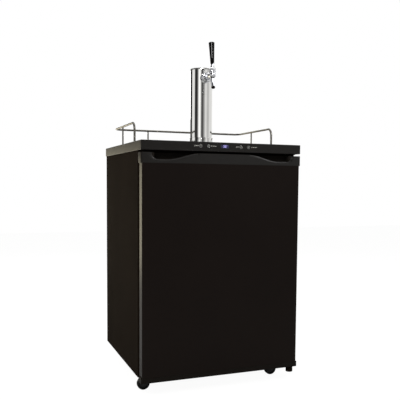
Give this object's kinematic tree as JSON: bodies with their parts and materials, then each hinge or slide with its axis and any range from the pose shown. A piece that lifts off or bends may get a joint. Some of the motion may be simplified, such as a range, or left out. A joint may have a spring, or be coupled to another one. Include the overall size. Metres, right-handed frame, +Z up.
{
  "type": "cold brew kegerator",
  "caption": "Insulated cabinet on casters with a hinged door, a railed worktop and a polished tower with a lever tap, for chilling and pouring keg coffee.",
  "frame": {"origin": "centre of the worktop's outline, on the floor under the caster wheels", "axes": "+Z up, the door and the tap face -Y, +X to the right of a person who faces the door"},
  "size_m": [0.61, 0.592, 1.2654],
  "materials": {
    "black_plastic": "moulded black plastic with a fine grain",
    "black_steel": "black powder coat on sheet steel",
    "dark_steel": "smooth black coat on sheet steel",
    "chrome": "bright chrome plate",
    "polished_steel": "polished stainless steel",
    "white_plastic": "white moulded liner",
    "rubber": "black rubber",
    "foam": "rigid polyurethane foam",
    "galvanised": "zinc plated steel",
    "button_metal": "satin silver caps",
    "handle_plastic": "gloss black moulding",
    "caster_plastic": "black nylon",
    "compressor_paint": "black painted steel shell",
    "display": "clear window over a blue lit display",
    "board": "green circuit board"
  },
  "bodies": {
    "cabinet": {"worktop": "black_plastic", "bay_cover": "black_plastic", "display_window": "display", "control_board": "board", "guard_rail": "chrome", "rail_collars": "chrome", "tower_flange": "polished_steel", "tower_screws": "polished_steel", "tower_column": "polished_steel", "tower_cap": "polished_steel", "drink_line": "polished_steel", "shank": "chrome", "shank_collar": "chrome", "shank_nut": "chrome", "coupling_nut": "chrome", "faucet_body": "chrome", "faucet_bonnet": "chrome", "left_side_panel": "black_steel", "right_side_panel": "black_steel", "front_frame": "black_steel", "insulation": "foam", "inner_liner": "white_plastic", "back_panel": "galvanised", "base_pan": "dark_steel", "keg_platform": "galvanised", "evaporator_cover": "white_plastic", "fan_motor": "caster_plastic", "compressor": "compressor_paint", "compressor_mounts": "rubber", "condenser": "dark_steel", "gas_grommet": "rubber", "cord_gland": "rubber", "upper_hinge": "black_steel", "lower_hinge": "black_steel", "cabinet_screws": "galvanised"},
    "door": {"door_skin": "dark_steel", "door_foam": "foam", "door_liner": "white_plastic", "door_top_cap": "black_plastic", "door_bottom_cap": "black_plastic", "door_gasket": "rubber"},
    "tap_lever": {"tap_lever": "chrome", "handle_ferrule": "chrome", "tap_handle": "handle_plastic"},
    "faucet_shaft": {"faucet_shaft": "polished_steel"},
    "drip_tray": {"drip_tray": "black_plastic"},
    "drip_grate": {"drip_grate": "polished_steel"},
    "fan": {"fan_rotor": "caster_plastic"},
    "power_button": {"power_button": "button_metal"},
    "light_button": {"light_button": "button_metal"},
    "raise_button": {"raise_button": "button_metal"},
    "lower_button": {"lower_button": "button_metal"},
    "front_left_fork": {"front_left_fork": "caster_plastic"},
    "front_left_wheel": {"front_left_wheel": "rubber"},
    "front_right_fork": {"front_right_fork": "caster_plastic"},
    "front_right_wheel": {"front_right_wheel": "rubber"},
    "rear_left_fork": {"rear_left_fork": "caster_plastic"},
    "rear_left_wheel": {"rear_left_wheel": "rubber"},
    "rear_right_fork": {"rear_right_fork": "caster_plastic"},
    "rear_right_wheel": {"rear_right_wheel": "rubber"}
  },
  "joints": [
    {"name": "door_hinge", "type": "hinge", "parent": "cabinet", "child": "door", "pos_m": [0.283, -0.275, 0.45], "axis": [0, 0, 1], "range_deg": [0, 120]},
    {"name": "tap_lever_pivot", "type": "hinge", "parent": "cabinet", "child": "tap_lever", "pos_m": [0, -0.168, 1.161], "axis": [1, 0, 0], "range_deg": [0, 30]},
    {"name": "faucet_shaft_slide", "type": "slide", "parent": "cabinet", "child": "faucet_shaft", "axis": [0, 1, 0], "range_m": [0, 0.009]},
    {"name": "power_button_press", "type": "slide", "parent": "cabinet", "child": "power_button", "axis": [0, 1, 0], "range_m": [0, 0.001], "stiffness_N_per_m": 800},
    {"name": "light_button_press", "type": "slide", "parent": "cabinet", "child": "light_button", "axis": [0, 1, 0], "range_m": [0, 0.001], "stiffness_N_per_m": 800},
    {"name": "raise_button_press", "type": "slide", "parent": "cabinet", "child": "raise_button", "axis": [0, 1, 0], "range_m": [0, 0.001], "stiffness_N_per_m": 800},
    {"name": "lower_button_press", "type": "slide", "parent": "cabinet", "child": "lower_button", "axis": [0, 1, 0], "range_m": [0, 0.001], "stiffness_N_per_m": 800},
    {"name": "drip_tray_lift", "type": "slide", "parent": "cabinet", "child": "drip_tray", "axis": [0, 0, 1], "range_m": [0, 0.06]},
    {"name": "drip_grate_lift", "type": "slide", "parent": "drip_tray", "child": "drip_grate", "axis": [0, 0, 1], "range_m": [0, 0.05]},
    {"name": "fan_spin", "type": "hinge", "parent": "cabinet", "child": "fan", "pos_m": [0, 0.18, 0.698], "axis": [0, 1, 0], "continuous": true},
    {"name": "front_left_swivel", "type": "hinge", "parent": "cabinet", "child": "front_left_fork", "pos_m": [-0.255, -0.204, 0.06], "axis": [0, 0, 1], "continuous": true},
    {"name": "front_left_wheel_spin", "type": "hinge", "parent": "front_left_fork", "child": "front_left_wheel", "pos_m": [-0.273, -0.204, 0.023], "axis": [0, 1, 0], "continuous": true},
    {"name": "front_right_swivel", "type": "hinge", "parent": "cabinet", "child": "front_right_fork", "pos_m": [0.255, -0.204, 0.06], "axis": [0, 0, 1], "continuous": true},
    {"name": "front_right_wheel_spin", "type": "hinge", "parent": "front_right_fork", "child": "front_right_wheel", "pos_m": [0.237, -0.204, 0.023], "axis": [0, 1, 0], "continuous": true},
    {"name": "rear_left_swivel", "type": "hinge", "parent": "cabinet", "child": "rear_left_fork", "pos_m": [-0.255, 0.233, 0.06], "axis": [0, 0, 1], "continuous": true},
    {"name": "rear_left_wheel_spin", "type": "hinge", "parent": "rear_left_fork", "child": "rear_left_wheel", "pos_m": [-0.237, 0.233, 0.023], "axis": [0, 1, 0], "continuous": true},
    {"name": "rear_right_swivel", "type": "hinge", "parent": "cabinet", "child": "rear_right_fork", "pos_m": [0.255, 0.233, 0.06], "axis": [0, 0, 1], "continuous": true},
    {"name": "rear_right_wheel_spin", "type": "hinge", "parent": "rear_right_fork", "child": "rear_right_wheel", "pos_m": [0.273, 0.233, 0.023], "axis": [0, 1, 0], "continuous": true}
  ],
  "couplings": [
    {"joint": "faucet_shaft_slide", "follows": "tap_lever_pivot", "m_per_rad": 0.01664}
  ]
}
